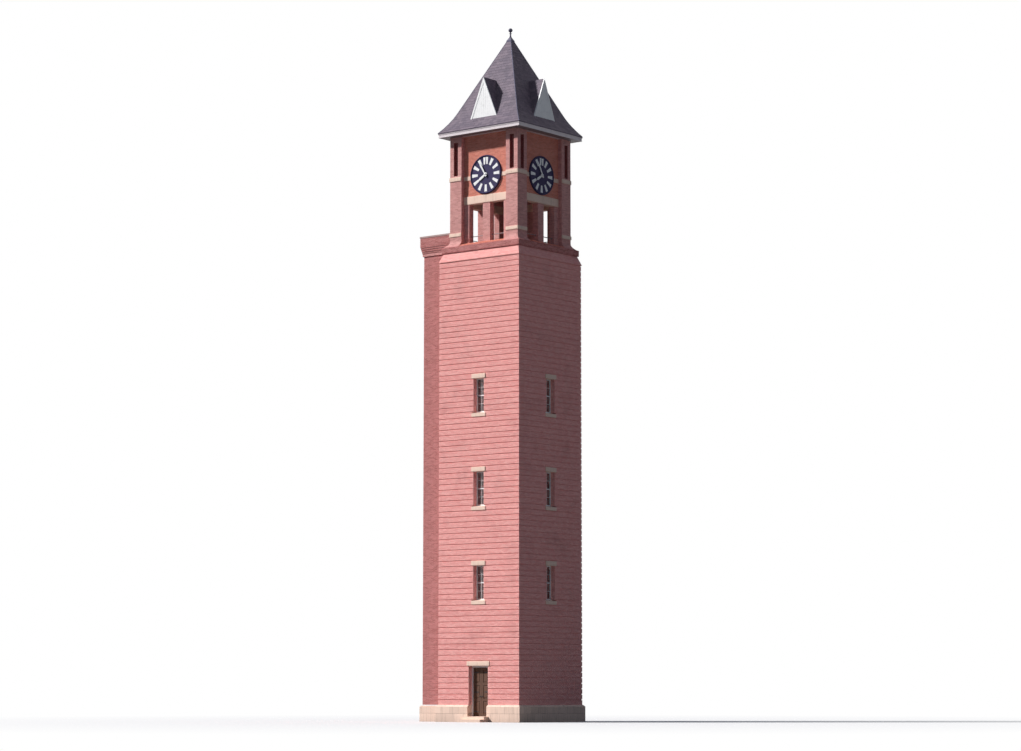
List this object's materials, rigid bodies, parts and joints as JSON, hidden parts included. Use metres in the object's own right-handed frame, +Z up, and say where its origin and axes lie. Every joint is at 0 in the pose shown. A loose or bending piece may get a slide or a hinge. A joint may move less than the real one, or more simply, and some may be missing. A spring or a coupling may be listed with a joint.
{
  "type": "clock tower",
  "caption": "Tall square brick clock tower with banded shaft, open belfry, round dials with turning hands, flared slate pyramid roof with gablets, and a side chimney.",
  "frame": {"origin": "centre of the shaft's underside, at ground level", "axes": "+Z up the tower's axis, -Y out of the front face, +X to the right seen from the front"},
  "size_m": [7.44, 6.44, 38.02],
  "materials": {
    "shaft_brick": "salmon red brick in raised bands, lime joints",
    "belfry_brick": "red brick, flush lime joints",
    "dressed_stone": "cream sandstone, fine tooled",
    "floor_boards": "sawn boards",
    "joinery_paint": "white oil paint on timber",
    "door_timber": "dark oiled oak",
    "window_pane": "clear, slightly wavy",
    "iron": "dark paint, dull",
    "dial_enamel": "blue-black enamel, satin",
    "mark_paint": "white paint",
    "hand_paint": "white painted sheet",
    "roof_slate": "purple-grey slate in courses",
    "roof_metal": "weathered lead-coated metal"
  },
  "bodies": {
    "tower": {"front_wall": "shaft_brick", "right_wall": "shaft_brick", "back_wall": "shaft_brick", "left_wall": "shaft_brick", "brick_bands": "shaft_brick", "coping_course": "shaft_brick", "chimney_band": "shaft_brick", "pier_front_right": "belfry_brick", "pier_back_right": "belfry_brick", "pier_back_left": "belfry_brick", "pier_front_left": "belfry_brick", "mullions": "belfry_brick", "belfry_jambs": "belfry_brick", "base_course": "belfry_brick", "clock_walls": "belfry_brick", "belfry_sills": "belfry_brick", "chimney_stack": "belfry_brick", "chimney_head": "belfry_brick", "plinth": "dressed_stone", "ground_floor": "dressed_stone", "window_lintels": "dressed_stone", "window_sills": "dressed_stone", "doorstep": "dressed_stone", "door_lintel": "dressed_stone", "belfry_lintels": "dressed_stone", "impost_stones": "dressed_stone", "string_course": "dressed_stone", "chimney_cap": "dressed_stone", "storey_floors": "floor_boards", "belfry_floor": "floor_boards", "window_frames": "joinery_paint", "door_frame": "joinery_paint", "eaves": "joinery_paint", "gablet_boards": "joinery_paint", "door_leaf": "door_timber", "window_glass": "window_pane", "guard_rails": "iron", "clock_dials": "dial_enamel", "hour_marks": "mark_paint", "roof_front": "roof_slate", "roof_right": "roof_slate", "roof_back": "roof_slate", "roof_left": "roof_slate", "gablet_roofs": "roof_slate", "finial": "roof_metal"},
    "minute_hand_front": {"minute_hand_front": "hand_paint"},
    "minute_hand_right": {"minute_hand_right": "hand_paint"},
    "minute_hand_back": {"minute_hand_back": "hand_paint"},
    "minute_hand_left": {"minute_hand_left": "hand_paint"},
    "hour_hand_front": {"hour_hand_front": "hand_paint"},
    "hour_hand_right": {"hour_hand_right": "hand_paint"},
    "hour_hand_back": {"hour_hand_back": "hand_paint"},
    "hour_hand_left": {"hour_hand_left": "hand_paint"}
  },
  "joints": [
    {"name": "minute_front", "type": "hinge", "parent": "tower", "child": "minute_hand_front", "pos_m": [0, -2.2, 29.5], "axis": [0, 1, 0], "continuous": true},
    {"name": "hour_front", "type": "hinge", "parent": "tower", "child": "hour_hand_front", "pos_m": [0, -2.2, 29.5], "axis": [0, 1, 0], "continuous": true},
    {"name": "minute_right", "type": "hinge", "parent": "tower", "child": "minute_hand_right", "pos_m": [2.2, 0, 29.5], "axis": [-1, 0, 0], "continuous": true},
    {"name": "hour_right", "type": "hinge", "parent": "tower", "child": "hour_hand_right", "pos_m": [2.2, 0, 29.5], "axis": [-1, 0, 0], "continuous": true},
    {"name": "minute_back", "type": "hinge", "parent": "tower", "child": "minute_hand_back", "pos_m": [0, 2.2, 29.5], "axis": [0, -1, 0], "continuous": true},
    {"name": "hour_back", "type": "hinge", "parent": "tower", "child": "hour_hand_back", "pos_m": [0, 2.2, 29.5], "axis": [0, -1, 0], "continuous": true},
    {"name": "minute_left", "type": "hinge", "parent": "tower", "child": "minute_hand_left", "pos_m": [-2.2, 0, 29.5], "axis": [1, 0, 0], "continuous": true},
    {"name": "hour_left", "type": "hinge", "parent": "tower", "child": "hour_hand_left", "pos_m": [-2.2, 0, 29.5], "axis": [1, 0, 0], "continuous": true}
  ],
  "couplings": [
    {"joint": "hour_front", "follows": "minute_front", "ratio": 0.083333},
    {"joint": "minute_right", "follows": "minute_front", "ratio": 1},
    {"joint": "hour_right", "follows": "minute_front", "ratio": 0.083333},
    {"joint": "minute_back", "follows": "minute_front", "ratio": 1},
    {"joint": "hour_back", "follows": "minute_front", "ratio": 0.083333},
    {"joint": "minute_left", "follows": "minute_front", "ratio": 1},
    {"joint": "hour_left", "follows": "minute_front", "ratio": 0.083333}
  ]
}
